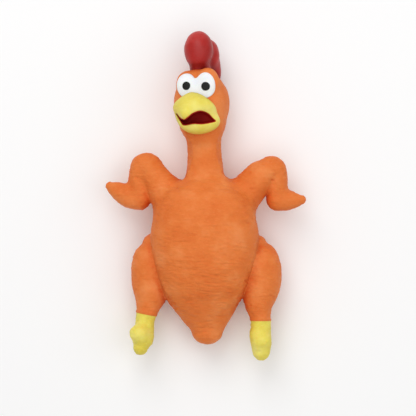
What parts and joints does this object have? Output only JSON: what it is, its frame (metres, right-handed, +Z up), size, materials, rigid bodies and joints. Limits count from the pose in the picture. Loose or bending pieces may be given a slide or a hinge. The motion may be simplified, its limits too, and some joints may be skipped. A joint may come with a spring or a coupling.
{
  "type": "squeaking rubber chicken toy",
  "caption": "Stuffed latex chicken toy that squeaks when its belly is pressed, with a bending neck and swinging wings and legs.",
  "frame": {"origin": "centre of the back patch's flat outer face, which is the plane the toy lies on", "axes": "+Z up, the way the belly faces when the toy lies on its back; +Y from tail to head; +X to the chicken's own left"},
  "size_m": [0.1821, 0.3022, 0.0856],
  "materials": {
    "orange_latex": "matt painted natural latex, finely wrinkled and nicked",
    "yellow_latex": "matt painted natural latex",
    "red_latex": "painted natural latex with a soft sheen",
    "maroon_latex": "matt paint inside the mouth",
    "white_latex": "thick satin paint on latex",
    "black_latex": "satin paint dot",
    "fibre_stuffing": "loose white polyester fibre",
    "squeaker_plastic": "soft milky polyethylene",
    "reed_film": "thin polyester film"
  },
  "bodies": {
    "torso": {"torso_skin": "orange_latex", "torso_stuffing": "fibre_stuffing", "back_patch": "orange_latex", "squeaker_base": "squeaker_plastic", "squeaker_bellows": "squeaker_plastic", "reed_barrel": "squeaker_plastic", "reed_holder": "squeaker_plastic"},
    "squeaker_top": {"squeaker_top": "squeaker_plastic"},
    "reed": {"reed_tongue": "reed_film"},
    "neck": {"neck_skin": "orange_latex", "neck_stuffing": "fibre_stuffing"},
    "head": {"head_skin": "orange_latex", "head_stuffing": "fibre_stuffing", "mouth_lining": "maroon_latex", "upper_beak": "yellow_latex", "lower_beak": "yellow_latex", "eye_white_left": "white_latex", "eye_white_right": "white_latex", "pupil_left": "black_latex", "pupil_right": "black_latex"},
    "comb": {"comb": "red_latex"},
    "wing_left": {"wing_skin_left": "orange_latex", "wing_stuffing_left": "fibre_stuffing"},
    "wing_right": {"wing_skin_right": "orange_latex", "wing_stuffing_right": "fibre_stuffing"},
    "leg_left": {"leg_skin_left": "orange_latex", "leg_stuffing_left": "fibre_stuffing"},
    "leg_right": {"leg_skin_right": "orange_latex", "leg_stuffing_right": "fibre_stuffing"},
    "foot_left": {"foot_left": "yellow_latex"},
    "foot_right": {"foot_right": "yellow_latex"}
  },
  "joints": [
    {"name": "neck_sway", "type": "hinge", "parent": "torso", "child": "neck", "pos_m": [-0.0005, 0.064, 0.034], "axis": [0, 0, 1], "range_deg": [-18, 18], "stiffness_Nm_per_rad": 1},
    {"name": "head_nod", "type": "hinge", "parent": "neck", "child": "head", "pos_m": [-0.0015, 0.092, 0.034], "axis": [1, 0, 0], "range_deg": [-15, 20], "stiffness_Nm_per_rad": 2},
    {"name": "comb_flop", "type": "hinge", "parent": "head", "child": "comb", "pos_m": [-0.0032, 0.152, 0.036], "axis": [-0.309, 0, 0.9511], "range_deg": [-10, 10], "stiffness_Nm_per_rad": 0.3},
    {"name": "wing_flap_left", "type": "hinge", "parent": "torso", "child": "wing_left", "pos_m": [0.0366, 0.0425, 0.036], "axis": [0.6283, -0.7779, 0], "range_deg": [-20, 32], "stiffness_Nm_per_rad": 0.5},
    {"name": "wing_flap_right", "type": "hinge", "parent": "torso", "child": "wing_right", "pos_m": [-0.0355, 0.0435, 0.036], "axis": [0.7413, 0.6712, 0], "range_deg": [-20, 32], "stiffness_Nm_per_rad": 0.5},
    {"name": "leg_swing_left", "type": "hinge", "parent": "torso", "child": "leg_left", "pos_m": [0.042, -0.021, 0.031], "axis": [-0.9651, 0.262, 0], "range_deg": [-12, 45], "stiffness_Nm_per_rad": 0.9},
    {"name": "leg_swing_right", "type": "hinge", "parent": "torso", "child": "leg_right", "pos_m": [-0.0444, -0.021, 0.03], "axis": [-0.9685, -0.2491, 0], "range_deg": [-12, 45], "stiffness_Nm_per_rad": 0.9},
    {"name": "foot_bend_left", "type": "hinge", "parent": "leg_left", "child": "foot_left", "pos_m": [0.0514, -0.077, 0.031], "axis": [-1, 0, 0], "range_deg": [-20, 20], "stiffness_Nm_per_rad": 0.3},
    {"name": "foot_bend_right", "type": "hinge", "parent": "leg_right", "child": "foot_right", "pos_m": [-0.055, -0.0735, 0.031], "axis": [-1, 0, 0], "range_deg": [-20, 20], "stiffness_Nm_per_rad": 0.3},
    {"name": "squeaker_press", "type": "slide", "parent": "torso", "child": "squeaker_top", "axis": [0, 0, -1], "range_m": [0, 0.008], "stiffness_N_per_m": 300, "deforming": ["squeaker_bellows"]},
    {"name": "reed_flutter", "type": "hinge", "parent": "torso", "child": "reed", "pos_m": [0, 0.0107, 0.0031], "axis": [1, 0, 0], "range_deg": [0, 4], "stiffness_Nm_per_rad": 0.0001}
  ]
}
